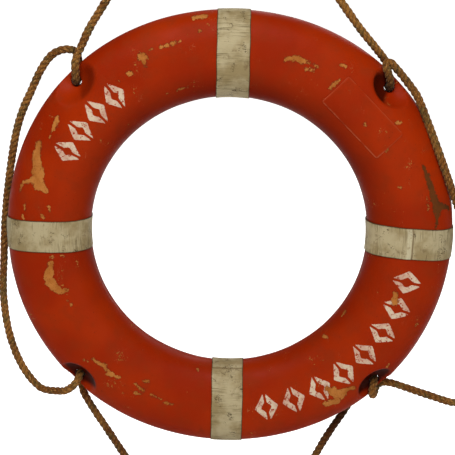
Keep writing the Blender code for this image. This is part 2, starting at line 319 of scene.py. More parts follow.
# Where the paint has flaked off the front: stroke from (angle, radius) to (angle, radius), and its
# half widths at both ends, all lengths in millimetres. Most rows are reworked from a scratch script's
# reading of the photo, which report.md gives as an open fault.
FRONT_CHIPS = (
    (153.5, 350, 156.5, 347, 5, 6.5),
    (156.5, 347, 160.5, 335, 7, 10),
    (160.5, 335, 164.5, 328, 11, 9),
    (164, 325, 165.5, 312, 7, 4.5),
    (163.5, 338, 165.2, 352, 5, 2.4),
    (165.2, 353, 167.8, 357, 2.6, 2),
    (145, 346, 148, 341, 4, 3),
    (148.5, 342, 150.5, 338, 2, 1.2),
    (171, 343, 172.5, 342, 2, 1.2),
    (170, 303, 171, 301, 2, 2),
    (174, 346, 175, 342, 1.8, 1.2),
    (173, 312, 174, 310, 2.4, 1.8),
    (100, 368, 97.2, 368.5, 5, 5),
    (99.2, 349, 98.6, 347, 2, 2),
    (93.2, 353, 93, 351, 1.6, 1),
    (116.2, 336, 115.2, 333, 5.5, 6),
    (115.6, 332, 116.2, 321, 5, 1.8),
    (113.2, 340, 112.4, 341, 2.4, 2),
    (110.5, 338, 106, 339, 1.8, 2.6),
    (108, 336, 104.8, 337, 1.2, 1.4),
    (121.4, 322, 120.6, 319, 2.8, 2.8),
    (125.2, 322, 124.8, 320, 1.2, 1),
    (113.8, 265, 112.6, 264, 0.8, 0.7),
    (110, 264, 105.6, 264.5, 0.7, 0.9),
    (74.6, 314, 72, 320, 3, 5),
    (72, 320, 69.8, 320, 5.5, 4),
    (69.4, 319, 66.8, 322, 2.4, 1.6),
    (66.6, 322, 65.4, 323, 1.8, 2.2),
    (68, 311, 65.8, 312, 2.6, 1.8),
    (59.6, 342, 58.4, 342, 2.2, 2.4),
    (58.8, 303, 57.8, 320, 4, 1.8),
    (43.4, 295, 42.7, 294, 1.8, 1.6),
    (37.7, 334, 36.8, 338, 2.6, 2),
    (32, 295, 32.3, 301, 2.2, 1.4),
    (19.5, 291, 19, 294, 1.8, 1.4),
    (188.6, 300, 192.2, 306, 4.5, 7),
    (192.2, 308, 194.6, 310, 8, 7),
    (194, 308, 196.6, 304, 8, 7),
    (196.4, 304, 198.6, 296, 6.5, 5),
    (198.4, 296, 198.6, 285, 4, 2),
    (186.5, 297, 187.2, 296, 2.6, 2.2),
    (186.5, 282, 186.7, 277, 1.8, 1.5),
    (202, 291, 204.4, 289, 1.2, 1.8),
    (221.6, 327, 222.6, 323, 1.4, 1.4),
    (223, 312, 225.4, 312, 2.2, 3),
    (225.4, 312, 227.6, 307, 3.4, 3.6),
    (227, 309, 230.2, 312, 2.8, 3.2),
    (230.2, 313, 233.2, 308, 5, 2.4),
    (240.4, 289, 242.2, 287, 2.2, 2.6),
    (238.8, 301, 240.6, 304, 3, 2.6),
    (240.6, 304, 242.6, 306, 2.6, 1.8),
    (239.8, 316, 241.4, 315, 2.6, 3),
    (244.8, 305, 246.2, 306, 2.8, 2),
    (247, 306, 248.4, 307, 1.6, 1.2),
    (249.4, 311, 252.6, 308, 1.3, 1.4),
    (257.6, 242, 258, 244, 1.5, 1.5),
    (303.6, 312, 304.6, 322, 5.5, 7),
    (304.4, 322, 305.8, 336, 8.5, 8),
    (306.7, 329, 310.2, 338, 5, 3),
    (300.4, 336, 303.3, 340, 5, 7),
    (343, 292, 339.7, 296, 4, 5.4),
    (313.4, 239, 314, 243, 2, 2),
    (324.6, 238, 327, 238, 2, 1.6),
    (335.5, 347, 336, 349, 1.6, 1.6),
    (321, 350, 322, 350, 1.8, 1.6),
    (16.4, 335, 9.7, 330, 0.7, 0.7),
)
# The same at the back, which is a guess in the same style
BACK_CHIPS = (
    (30, 318, 33, 330, 7, 5),
    (33, 330, 36, 326, 5, 2),
    (68, 290, 72, 296, 4, 5),
    (112, 330, 118, 322, 3, 6),
    (118, 322, 121, 330, 5, 2),
    (152, 300, 156, 294, 8, 4),
    (156, 294, 158, 306, 4, 2.5),
    (205, 330, 209, 336, 4, 3),
    (232, 280, 236, 286, 3, 5),
    (262, 312, 263.5, 306, 3, 3),
    (285, 330, 290, 324, 6, 7),
    (290, 324, 293, 312, 6, 2),
    (322, 292, 326, 300, 4, 3),
    (347, 318, 351, 324, 3, 5),
)
# Brown worn-through streaks, given the same way
FRONT_STREAKS = (
    (24, 339, 20, 340, 1.5, 4),
    (20, 340, 15, 342, 5, 6),
    (15, 342, 9.6, 347, 6, 8),
    (11, 348, 9, 366, 6, 4),
    (9.6, 346, 4, 341, 6, 1.6),
)
BACK_STREAKS = ((198, 338, 206, 344, 3, 8), (206, 344, 212, 338, 7, 3))

# Rows of plain stencilled lozenges: the first one's ring angle, the step, their number and half width
STENCIL_ROWS = ((128.5, 7.6, 4, 0.0180), (283.0, 9.2, 8, 0.0205))
STENCIL_RADIUS = 0.304
LOZENGE_HALF_HEIGHT = 0.0280
LOZENGE_STROKE = 0.0090
LOZENGE_BRIDGE = 0.0022

# Camera, level with the fit of the ring's outline
CAMERA_ELEVATION = 15.81
CAMERA_ROLL = 1.11
CAMERA_DISTANCE = 2.2
CAMERA_LENS = 102.9
CAMERA_SHIFT = (-0.0055, 0.0116)
FLOOR_DROP = 0.05
# How much darker a paint is than it looks under the lights
PAINT_DEPTH = 0.84


def srgb(red, green, blue):
    """The paint that looks like these screen values of 0 to 255 under the scene's lights."""
    shares = [channel / 255 for channel in (red, green, blue)]
    linear = [s / 12.92 if s <= 0.04045 else ((s + 0.055) / 1.055) ** 2.4 for s in shares]
    return tuple(value * PAINT_DEPTH for value in linear)


# ---------------------------------------------------------------- shader building


class Paint:
    """A material's node tree, with a short call for each kind of node."""

    def __init__(self, name):
        self.material = bpy.data.materials.new(name)
        self.material.use_nodes = True
        self.tree = self.material.node_tree
        self.surface = self.tree.nodes["Principled BSDF"]

    def put(self, socket, value):
        if isinstance(value, bpy.types.NodeSocket):
            self.tree.links.new(value, socket)
        elif socket.type == "RGBA" and len(value) == 3:
            socket.default_value = (*value, 1.0)
        else:
            socket.default_value = value

    def node(self, kind, settings=(), **inputs):
        made = self.tree.nodes.new("ShaderNode" + kind)
        for key, value in dict(settings).items():
            setattr(made, key, value)
        for key, value in inputs.items():
            self.put(made.inputs[key.replace("_", " ")], value)
        return made

    def place(self, sizes=(1, 1, 1), source=None):
        """The piece's own coordinates, or another vector, scaled on each axis."""
        source = source or self.node("TexCoord").outputs["Object"]
        return self.node("Mapping", Vector=source, Scale=sizes).outputs["Vector"]

    def attribute(self, name, output="Fac"):
        return self.node("Attribute", {"attribute_name": name}).outputs[output]

    def noise(self, place, scale, detail=3.0, roughness=0.55):
        made = self.node("TexNoise", Vector=place, Scale=scale, Detail=detail, Roughness=roughness)
        return made.outputs["Fac"]

    def cells(self, place, scale, feature="F1", output="Distance"):
        made = self.node("TexVoronoi", {"feature": feature}, Vector=place, Scale=scale)
        return made.outputs[output]

    def math(self, operation, *values):
        made = self.node("Math", {"operation": operation})
        for socket, value in zip(made.inputs, values):
            self.put(socket, value)
        return made.outputs[0]

    def span(self, value, low, high, start=0.0, end=1.0):
        """value between low and high, as a smooth step from start to end."""
        made = self.node("MapRange", {"interpolation_type": "SMOOTHSTEP"})
        for key, number in (("From Min", low), ("From Max", high), ("To Min", start), ("To Max", end)):
            made.inputs[key].default_value = number
        self.put(made.inputs["Value"], value)
        return made.outputs["Result"]

    def mix(self, share, first, second):
        made = self.node("Mix", {"data_type": "RGBA"})
        self.put(made.inputs[0], share)
        self.put(made.inputs[6], first)
        self.put(made.inputs[7], second)
        return made.outputs[2]

    def bump(self, height, distance, normal=None):
        made = self.node("Bump", Height=height, Distance=distance)
        if normal:
            self.put(made.inputs["Normal"], normal)
        return made.outputs["Normal"]

    def finish(self, colour, roughness, normal=None, specular=0.3):
        self.put(self.surface.inputs["Base Color"], colour)
        self.put(self.surface.inputs["Roughness"], roughness)
        self.surface.inputs["Specular IOR Level"].default_value = specular
        if normal:
            self.put(self.surface.inputs["Normal"], normal)
        return self.material


def shell_material():
    """Old glossy red-orange paint, flaked to a tan layer, with rubbed stencil paint on it."""
    paint = Paint("worn_red_paint")
    here = paint.place()
    broad = paint.noise(here, 7.0, 2.0)
    mottle = paint.noise(here, 38.0, 5.0, 0.6)
    grit = paint.noise(here, 420.0, 2.0)
    body = paint.mix(paint.span(broad, 0.35, 0.68), srgb(142, 32, 0), srgb(156, 41, 1))
    body = paint.mix(paint.span(mottle, 0.42, 0.75, 0.0, 0.55), body, srgb(134, 42, 10))
    grime = paint.noise(paint.place((1.0, 1.0, 0.35)), 22.0, 6.0, 0.65)
    body = paint.mix(paint.span(grime, 0.60, 0.80, 0.0, 0.55), body, srgb(98, 34, 10))

    edge = paint.math("MULTIPLY_ADD", paint.noise(here, 170.0, 6.0, 0.72), 0.0180, -0.0090)
    stencil_edge = paint.math("MULTIPLY_ADD", paint.noise(here, 330.0, 3.0), 0.0020, -0.0010)
    stencil = paint.span(paint.math("ADD", paint.attribute("stencil"), stencil_edge), -0.0002, 0.0004)
    rubbed = paint.span(paint.noise(here, 210.0, 5.0, 0.7), 0.36, 0.47)
    stencil = paint.math("MULTIPLY", stencil, rubbed)
    stencil_tone = paint.mix(paint.span(mottle, 0.40, 0.66), srgb(206, 184, 158), srgb(190, 146, 124))
    body = paint.mix(stencil, body, stencil_tone)

    flakes = paint.noise(here, 34.0, 3.0)
    crumbs = paint.noise(here, 260.0, 3.0, 0.6)
    few = paint.span(paint.math("MULTIPLY", flakes, crumbs), 0.425, 0.435)
    chip_depth = paint.math("ADD", paint.attribute("chip"), edge)
    chipped = paint.math("MAXIMUM", paint.span(chip_depth, 0.0, 0.0004), few)
    rim = paint.math("SUBTRACT", paint.span(chip_depth, -0.0011, -0.0004), chipped)
    rim.node.use_clamp = True
    tan = paint.mix(paint.span(mottle, 0.35, 0.7), srgb(182, 115, 54), srgb(150, 84, 30))
    tan = paint.mix(paint.span(grit, 0.58, 0.70, 0.0, 0.7), tan, srgb(112, 58, 26))
    body = paint.mix(paint.math("MULTIPLY", rim, 0.7), body, srgb(112, 38, 18))
    body = paint.mix(chipped, body, tan)

    streak_field = paint.math("ADD", paint.attribute("streak"), edge)
    streak = paint.span(streak_field, -0.0004, 0.0014, 0.0, 0.92)
    streak_tone = paint.mix(paint.span(mottle, 0.4, 0.7), srgb(92, 52, 20), srgb(70, 46, 20))
    body = paint.mix(streak, body, streak_tone)

    long_way = paint.place((9.0, 9.0, 1.2))
    hairs = paint.cells(long_way, 26.0, "DISTANCE_TO_EDGE")
    fine_lines = paint.span(hairs, 0.004, 0.010, 1.0, 0.0)
    scratched = paint.math("MULTIPLY", fine_lines, paint.span(flakes, 0.60, 0.68))
    body = paint.mix(paint.math("MULTIPLY", scratched, 0.55), body, srgb(186, 104, 66))
    pits = paint.span(paint.cells(here, 130.0), 0.05, 0.10, 1.0, 0.0)
    pits = paint.math("MULTIPLY", pits, paint.span(broad, 0.52, 0.60))
    body = paint.mix(paint.math("MULTIPLY", pits, 0.8), body, srgb(60, 22, 10))
    # Painted shade on the opening's side of the tube, darkest near the top
    body = paint.mix(paint.math("MULTIPLY", paint.attribute("shade"), 0.75), body, srgb(72, 8, 0))
    # Painted shade in the rope recesses, under their lips
    body = paint.mix(paint.attribute("recess_shade"), body, srgb(40, 6, 0))

    rubbed_edge = paint.math("MULTIPLY", paint.attribute("rubbed"), paint.span(mottle, 0.40, 0.52, 0.15, 0.8))
    body = paint.mix(rubbed_edge, body, srgb(186, 96, 62))

    bare = paint.math("MAXIMUM", chipped, streak)
    rough = paint.span(mottle, 0.3, 0.7, 0.42, 0.58)
    rough = paint.math("MAXIMUM", rough, paint.math("MULTIPLY", bare, 0.78))
    rough = paint.math("MAXIMUM", rough, paint.math("MULTIPLY", stencil, 0.62))
    relief = paint.math("SUBTRACT", paint.math("MULTIPLY", stencil, 0.25), bare)
    normal = paint.bump(relief, 0.0005)
    normal = paint.bump(paint.noise(here, 60.0, 4.0), 0.0006, normal)
    return paint.finish(body, rough, normal, 0.04)


def tape_material():
    """Weathered beige tape: fine creases across it, dirt in specks and along its edges."""
    paint = Paint("weathered_tape")
    flat = paint.attribute("lay", "Vector")
    creases = paint.noise(paint.place((900.0, 26.0, 26.0), flat), 1.0, 4.0, 0.6)
    cracks = paint.noise(paint.place((380.0, 9.0, 9.0), flat), 1.0, 3.0, 0.7)
    here = paint.place()
    blots = paint.noise(here, 26.0, 4.0, 0.6)
    specks = paint.noise(here, 520.0, 2.0)
    ribbed = paint.span(paint.noise(here, 34.0, 2.0), 0.42, 0.58)
    body = paint.mix(paint.span(blots, 0.38, 0.66), srgb(174, 160, 124), srgb(144, 126, 88))
    ribs = paint.math("MULTIPLY", ribbed, paint.span(creases, 0.50, 0.62, 0.0, 0.7))
    body = paint.mix(ribs, body, srgb(104, 90, 58))
    body = paint.mix(paint.span(cracks, 0.63, 0.68, 0.0, 0.85), body, srgb(74, 56, 30))
    smudges = paint.span(paint.noise(here, 46.0, 4.0, 0.65), 0.60, 0.72, 0.0, 0.6)
    body = paint.mix(smudges, body, srgb(104, 82, 52))
    grains = paint.span(paint.noise(here, 60.0, 3.0), 0.55, 0.66)
    dirty = paint.math("MULTIPLY", grains, paint.span(specks, 0.50, 0.60))
    body = paint.mix(paint.math("MULTIPLY", dirty, 0.9), body, srgb(58, 40, 20))
    torn = paint.span(paint.noise(here, 170.0, 3.0, 0.6), 0.36, 0.46)
    fresh = paint.math("MULTIPLY", paint.attribute("fresh"), torn)
    body = paint.mix(fresh, body, srgb(206, 196, 164))
    rim = paint.math("ADD", paint.attribute("edge"), paint.math("MULTIPLY", specks, 0.0012))
    body = paint.mix(paint.span(rim, 0.0011, 0.0024, 0.95, 0.0), body, srgb(62, 32, 8))
    # Painted shade along the lap's two edges
    body = paint.mix(paint.attribute("step"), body, srgb(84, 58, 30))
    normal = paint.bump(creases, 0.0005)
    normal = paint.bump(cracks, 0.0006, normal)
    return paint.finish(body, paint.span(blots, 0.3, 0.7, 0.52, 0.76), normal, 0.12)


def rope_material():
    """Weathered brown three-strand fibre rope, with painted shade in its grooves."""
    paint = Paint("weathered_rope")
    straight = paint.attribute("straight", "Vector")
    fibres = paint.noise(paint.place((1500.0, 1500.0, 160.0), straight), 1.0, 3.0, 0.6)
    yarns = paint.noise(paint.place((520.0, 520.0, 60.0), straight), 1.0, 2.0)
    patches = paint.noise(paint.place(), 16.0, 3.0)
    worn = paint.noise(paint.place(), 150.0, 3.0, 0.6)
    body = paint.mix(paint.span(patches, 0.38, 0.62), srgb(112, 66, 22), srgb(146, 98, 42))
    tint = paint.noise(paint.place(), 52.0, 2.0)
    body = paint.mix(paint.span(tint, 0.50, 0.64, 0.0, 0.85), body, srgb(98, 78, 38))
    flecks = paint.noise(paint.place((520.0, 520.0, 210.0), straight), 1.0, 2.0, 0.6)
    body = paint.mix(paint.span(flecks, 0.54, 0.70, 0.0, 0.8), body, srgb(184, 138, 80))
    body = paint.mix(paint.span(flecks, 0.34, 0.46, 0.75, 0.0), body, srgb(58, 32, 12))
    body = paint.mix(paint.span(fibres, 0.52, 0.74, 0.0, 0.45), body, srgb(62, 38, 16))
    body = paint.mix(paint.span(worn, 0.56, 0.70, 0.0, 0.5), body, srgb(70, 50, 22))
    # Painted shade in the grooves between the strands
    body = paint.mix(paint.attribute("groove_shade"), body, srgb(52, 28, 8))
    # Painted shade on the rope at the holes and under the ring
    body = paint.mix(paint.attribute("rope_shade"), body, srgb(52, 22, 6))
    normal = paint.bump(yarns, 0.0010)
    normal = paint.bump(fibres, 0.0006, normal)
    paint.surface.inputs["Sheen Weight"].default_value = 0.05
    return paint.finish(body, 0.86, normal, 0.06)


def twine_material():
    paint = Paint("waxed_twine")
    fine = paint.noise(paint.place(), 900.0, 3.0)
    soiled = paint.noise(paint.place(), 90.0, 3.0)
    body = paint.mix(paint.span(fine, 0.4, 0.65), srgb(150, 118, 76), srgb(112, 84, 50))
    body = paint.mix(paint.span(soiled, 0.5, 0.7, 0.0, 0.6), body, srgb(72, 52, 32))
    return paint.finish(body, 0.7, paint.bump(fine, 0.0003), 0.25)


def foam_material():
    paint = Paint("rigid_foam")
    pores = paint.cells(paint.place(), 320.0)
    body = paint.mix(paint.span(pores, 0.1, 0.5), srgb(176, 140, 82), srgb(214, 180, 120))
    return paint.finish(body, 0.95, paint.bump(pores, 0.0008), 0.2)


def plug_material():
    paint = Paint("painted_plug")
    here = paint.place()
    worn = paint.noise(here, 240.0, 4.0, 0.65)
    body = paint.mix(paint.span(worn, 0.5, 0.62), srgb(134, 36, 8), srgb(58, 44, 36))
    return paint.finish(body, paint.span(worn, 0.4, 0.7, 0.4, 0.7), paint.bump(worn, 0.0004), 0.3)


# ---------------------------------------------------------------- ring geometry


def section_reach(angle, offset=0.0):
    """How far the section's outline is from its middle along a ray at this section angle."""
    across = np.abs(np.cos(angle)) / (HALF_WIDTH + offset)
    along = np.abs(np.sin(angle)) / (HALF_THICKNESS + offset)
    return (across**SECTION_POWER + along**SECTION_POWER) ** (-1 / SECTION_POWER)


ARC_ANGLES = np.linspace(-math.pi, math.pi, 2001)
ARC_REACH = section_reach(ARC_ANGLES)
ARC_STEPS = np.hypot(np.diff(ARC_REACH * np.cos(ARC_ANGLES)), np.diff(ARC_REACH * np.sin(ARC_ANGLES)))
ARC_LENGTHS = np.concatenate([[0.0], np.cumsum(ARC_STEPS)])
ARC_LENGTHS -= ARC_LENGTHS[1000]


def girth(angle):
    """Distance round the section from the outer rim, positive over the front."""
    return np.interp(angle, ARC_ANGLES, ARC_LENGTHS)


def angle_at_girth(distance):
    return np.interp(distance, ARC_LENGTHS, ARC_ANGLES)


def crown_angle(radius):
    """The section angle of the front surface at a radius of the ring."""
    across = np.clip((radius - MEAN_RADIUS) / HALF_WIDTH, -1.0, 1.0)
    depth = HALF_THICKNESS * (1 - np.abs(across) ** SECTION_POWER) ** (1 / SECTION_POWER)
    return np.arctan2(depth, radius - MEAN_RADIUS)


def first_crossing(quadratic, linear, constant):
    """The smaller root of a quadratic, or FAR where a ray misses."""
    under = linear**2 - 4 * quadratic * constant
    root = (-linear - np.sqrt(np.maximum(under, 0.0))) / (2 * quadratic)
    return np.where((under > 0) & (root > 0), root, FAR)


def scoop_reach(turn, angle, grow, axial):
    """Along each ray, the distance to the recess ellipsoid of the nearest diagonal, in front."""
    sizes = (SCOOP_SIZES[0] + grow, SCOOP_SIZES[1] + grow, axial)
    cosine, sine = np.cos(turn), np.sin(turn)
    starts = (MEAN_RADIUS * cosine - SCOOP_CENTRE_RADIUS, MEAN_RADIUS * sine, -SCOOP_CENTRE_DEPTH)
    slopes = (np.cos(angle) * cosine, np.cos(angle) * sine, np.sin(angle))
    quadratic = sum((slope / size) ** 2 for slope, size in zip(slopes, sizes))
    linear = sum(2 * start * slope / size**2 for start, slope, size in zip(starts, slopes, sizes))
    constant = sum((start / size) ** 2 for start, size in zip(starts, sizes)) - 1
    return first_crossing(quadratic, linear, constant)


def flat_reach(turn, angle, radius):
    outwards = np.maximum(np.cos(angle), 1e-6)
    return np.where(np.cos(angle) > 1e-6, (radius / np.cos(turn) - MEAN_RADIUS) / outwards, FAR)


def boss_reach(turn, angle, radius):
    """Along each ray, the distance to the solid boss round a rope hole."""
    start = MEAN_RADIUS * np.cos(turn) - HOLE_CENTRE_RADIUS
    beside = MEAN_RADIUS * np.sin(turn)
    flatness = np.cos(angle)
    quadratic = np.maximum(flatness**2, 1e-9)
    linear = 2 * flatness * (start * np.cos(turn) + beside * np.sin(turn))
    constant = start**2 + beside**2 - radius**2
    reach = first_crossing(quadratic, linear, constant)
    return np.where(flatness > 0, reach, FAR)


def soft_min(first, second, rounding):
    overlap = np.maximum(rounding - np.abs(first - second), 0.0) / rounding
    return np.minimum(first, second) - overlap**2 * rounding / 4


def swell(sweep, angle):
    """How far the uneven tube stands out from its even section at a ring angle and section angle."""
    outward = np.clip(2 * np.cos(angle) - 1, 0.0, 1.0) ** 2
    inward = np.clip(-2 * np.cos(angle) - 1, 0.0, 1.0) ** 2
    aloft = 0.5 + 0.5 * np.sin(sweep)
    rim = RIM_SWELL[0] + (RIM_SWELL[1] - RIM_SWELL[0]) * aloft
    rim = rim * (0.5 - 0.5 * np.cos(4 * sweep))
    return outward * rim + inward * OPENING_SHIFT * np.cos(sweep + math.radians(OPENING_TURN))


def nearest_diagonal(sweep):
    """Each ring angle's turn from the diagonal in its quarter of the ring, in radians."""
    quarter = math.pi / 2
    return sweep % quarter - quarter / 2


def ripple(points, scale, seed):
    shift = Vector((seed * 1.7, seed * 0.9, seed * 2.3))
    return np.array([noise.noise(Vector(point) * scale + shift) for point in points])


def on_ring(sweep, radius, depth):
    """Points in the part's frame from ring angles, radii and depths towards the front."""
    place = [CENTRE.x + radius * np.cos(sweep), CENTRE.y - depth, CENTRE.z + radius * np.sin(sweep)]
    return np.stack(np.broadcast_arrays(*place), axis=-1)


def new_piece(name, points, faces, material, smooth_angle=40.0):
    mesh = bpy.data.meshes.new(name)
    mesh.from_pydata(np.asarray(points).reshape(-1, 3).tolist(), [], faces)
    mesh.materials.append(material)
    piece = bpy.data.objects.new(name, mesh)
    bpy.context.scene.collection.objects.link(piece)
    for polygon in mesh.polygons:
        polygon.use_smooth = True
    mesh.set_sharp_from_angle(angle=math.radians(smooth_angle))
    return piece


def loop_faces(rows, columns, close_rows=True, close_columns=True, flip=False):
    """Quads of a grid that closes on itself in one or both directions."""
    faces = []
    for row in range(rows if close_rows else rows - 1):
        after = (row + 1) % rows
        for column in range(columns if close_columns else columns - 1):
            beside = (column + 1) % columns
            face = (
                row * columns + column,
                after * columns + column,
                after * columns + beside,
                row * columns + beside,
            )
            faces.append(face[::-1] if flip else face)
    return faces


def add_field(mesh, name, values, kind="FLOAT", key="value"):
    """Stores a number for each vertex, or a vector with kind FLOAT_VECTOR and key vector."""
    field = mesh.attributes.new(name, kind, "POINT")
    field.data.foreach_set(key, np.asarray(values, np.float32).ravel())


def vertex_array(mesh):
    places = np.empty(len(mesh.vertices) * 3, np.float32)
    mesh.vertices.foreach_get("co", places)
    return places.reshape(-1, 3).astype(float)


def stroke_field(sweep, around, strokes, side):
    """How deep each point lies inside the nearest stroke, in metres, negative outside."""
    field = np.full(len(sweep), -0.05)
    for start_angle, start_radius, end_angle, end_radius, start_width, end_width in strokes:
        ends = []
        for degrees, radius in ((start_angle, start_radius), (end_angle, end_radius)):
            ends.append((math.radians(degrees), side * float(girth(crown_angle(radius / 1000)))))
        local = (start_radius + end_radius) / 2000
        across = ((sweep - ends[0][0] + math.pi) % (2 * math.pi) - math.pi) * local
        along = around - ends[0][1]
        run = np.array([(ends[1][0] - ends[0][0]) * local, ends[1][1] - ends[0][1]])
        share = np.clip((across * run[0] + along * run[1]) / (run @ run), 0.0, 1.0)
        distance = np.hypot(across - share * run[0], along - share * run[1])
        width = (start_width + (end_width - start_width) * share) / 1000
        field = np.maximum(field, width - distance)
    return field


def lozenge_field(sweep, around):
    """How deep each point lies inside the stencilled lozenges' strokes, in metres."""
    field = np.full(len(sweep), -0.05)
    middle = float(girth(crown_angle(STENCIL_RADIUS)))
    for first, step, count, half_width in STENCIL_ROWS:
        slope = math.hypot(half_width, LOZENGE_HALF_HEIGHT)
        for n in range(count):
            turn = (sweep - math.radians(first + step * n) + math.pi) % (2 * math.pi) - math.pi
            across = np.abs(turn * STENCIL_RADIUS)
            along = np.abs(around - middle)
            share = across / half_width + along / LOZENGE_HALF_HEIGHT
            outside = (share - 1) * half_width * LOZENGE_HALF_HEIGHT / slope
            stroke = LOZENGE_STROKE / 2 - np.abs(outside + LOZENGE_STROKE / 2)
            stroke = np.minimum(stroke, across - LOZENGE_BRIDGE)
            field = np.maximum(field, stroke)
    return field


def add_paint_fields(mesh):
    """Stores where the paint is flaked, streaked or stencilled on each vertex, and where shade is painted."""
    places = vertex_array(mesh) - np.array(CENTRE)
    sweep = np.arctan2(places[:, 2], places[:, 0])
    radius = np.hypot(places[:, 0], places[:, 2])
    angle = np.arctan2(-places[:, 1], radius - MEAN_RADIUS)
    around = girth(angle)
    front = stroke_field(sweep, around, FRONT_CHIPS, 1)
    add_field(mesh, "chip", np.maximum(front, stroke_field(sweep, around, BACK_CHIPS, -1)))
    streaks = stroke_field(sweep, around, FRONT_STREAKS, 1)
    add_field(mesh, "streak", np.maximum(streaks, stroke_field(sweep, around, BACK_STREAKS, -1)))
    add_field(mesh, "stencil", lozenge_field(sweep, around))
    # Painted shade in the recesses: on the front on the side the lip shades, on the back in every hollow
    quarter = np.floor(sweep % (2 * math.pi) / (math.pi / 2)).astype(int) % 4
    strength, side, start = (np.array(column)[quarter] for column in zip(*RECESS_SHADE))
    diagonal = math.pi / 4 + quarter * math.pi / 2
    past = (places[:, 0] - HOLE_CENTRE_RADIUS * np.cos(diagonal)) * np.cos(np.radians(side))
    past = past + (places[:, 2] - HOLE_CENTRE_RADIUS * np.sin(diagonal)) * np.sin(np.radians(side))
    sunk = section_reach(angle) - np.hypot(radius - MEAN_RADIUS, places[:, 1])
    recess_shade = strength * np.clip((past - start) / 0.006, 0, 1) * np.clip(sunk / 0.004 - 0.3, 0, 1)
    near_front = places[:, 1] < 0.012
    recess_shade = np.where(near_front, recess_shade, 0.4 * np.clip(sunk / 0.012, 0, 1))
    add_field(mesh, "recess_shade", recess_shade)
    # Painted shade on the opening's side of the tube, strongest towards the top
    inward = np.clip((MEAN_RADIUS - 0.012 - radius) / (HALF_WIDTH - 0.012), 0.0, 1.0)
    aloft = 0.5 + 0.5 * np.cos(sweep - math.radians(PAINTED_SHADE_TOP))
    add_field(mesh, "shade", inward * (0.12 + 0.68 * aloft))


def shell_profiles():
    """Section angles of the outer skin, crowded at the seam, and of the inner skin."""
    half_girth = float(girth(math.pi))
    near_seam = [0.0, 0.0004, 0.0009, 0.0016]
    even = np.linspace(0.0, half_girth, OUTER_STEPS)[1:-1]
    distances = [*near_seam, *even, *[half_girth - d for d in near_seam[::-1]]]
    return angle_at_girth(distances), np.linspace(math.pi, 0.0, INNER_STEPS)


def skin_points(sweep, angles, reach, side):
    radius = MEAN_RADIUS + reach * np.cos(angles)
    depth = np.maximum(reach * np.sin(angles), SEAM_HALF_GAP)
    return on_ring(sweep, radius, side * depth)


def shell_half(name, node, side, material):
    """One moulded half as a closed hollow shell, with scooped recesses, rim flats and rope holes."""
    sweep = np.linspace(0, 2 * math.pi, SWEEP_STEPS, endpoint=False)[:, None]
    turn = nearest_diagonal(sweep)
    outer, inner = shell_profiles()
    outer, inner = outer[None, :], inner[None, :]

    reach = section_reach(outer) + swell(sweep, outer)
    raw = on_ring(sweep, MEAN_RADIUS + reach * np.cos(outer), side * reach * np.sin(outer))
    raw = raw.reshape(-1, 3)
    dents = ripple(raw, 9.0, 3 + side) + 0.35 * ripple(raw, 31.0, 5 + side)
    seam_fade = np.clip(reach * np.sin(outer) / 0.010, 0.0, 1.0)
    seam_dip = 0.0005 * np.exp(-reach * np.sin(outer) / 0.0007)
    reach = reach + DENT_HEIGHT * dents.reshape(SWEEP_STEPS, -1) * seam_fade - seam_dip
    flat = RIM_FLAT_RADIUS + RIM_SWELL[1] * (np.sin(sweep) > 0)
    reach = soft_min(reach, flat_reach(turn, outer, flat), 0.002)
    worn_lip = LIP_ROUNDING + WORN_LIP * (np.sin(sweep) > 0) * (np.cos(sweep) < 0)
    reach = soft_min(reach, scoop_reach(turn, outer, 0.0, SCOOP_SIZES[2]), worn_lip)

    hollow = section_reach(inner, -WALL) + np.zeros_like(turn)
    hollow = np.minimum(hollow, flat_reach(turn, inner, RIM_FLAT_RADIUS - WALL))
    axial = SCOOP_CENTRE_DEPTH + WEB_OVERLAP
    hollow = np.minimum(hollow, scoop_reach(turn, inner, SCOOP_WALL, axial))
    hollow = np.minimum(hollow, boss_reach(turn, inner, HOLE_RADIUS + SCOOP_WALL))

    points = np.concatenate(
        [skin_points(sweep, outer, reach, side), skin_points(sweep, inner, hollow, side)], axis=1
    )
    faces = loop_faces(points.shape[0], points.shape[1], flip=side < 0)
    shell = new_piece(name, points, faces, material)
    drill_holes(shell)
    add_paint_fields(shell.data)
    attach(shell, "ring")
    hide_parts(node)
    return shell


def drill_holes(shell):
    """Cuts the four rope holes, a little flared at their mouths by the rope."""
    depths = np.linspace(-0.045, 0.045, 31)
    radii = HOLE_RADIUS + 0.0015 * np.clip((np.abs(depths) - 0.006) / 0.012, 0, 1) ** 1.5
    turns = np.linspace(0, 2 * math.pi, 56, endpoint=False)
    points, faces = [], []
    for diagonal in DIAGONALS:
        turned = Matrix.Rotation(-math.radians(diagonal), 3, "Y")
        middle = CENTRE + turned @ Vector((HOLE_CENTRE_RADIUS, 0, 0))
        first = len(points)
        for depth, radius in zip(depths, radii):
            for turn in turns:
                points.append((middle.x + radius * math.cos(turn), depth, middle.z + radius * math.sin(turn)))
        wall = loop_faces(len(depths), len(turns), close_rows=False)
        faces += [tuple(first + corner for corner in face) for face in wall]
        faces.append(tuple(first + n for n in range(len(turns))))
        last = first + (len(depths) - 1) * len(turns)
        faces.append(tuple(last + n for n in reversed(range(len(turns)))))
    cutter = new_piece("hole_cutter", points, faces, shell.data.materials[0])
    boolean = shell.modifiers.new("holes", "BOOLEAN")
    boolean.operation = "DIFFERENCE"
    boolean.solver = "EXACT"
    boolean.object = cutter
    graph = bpy.context.evaluated_depsgraph_get()
    drilled = bpy.data.meshes.new_from_object(shell.evaluated_get(graph))
    shell.modifiers.clear()
    shell.data = drilled
    bpy.data.objects.remove(cutter)


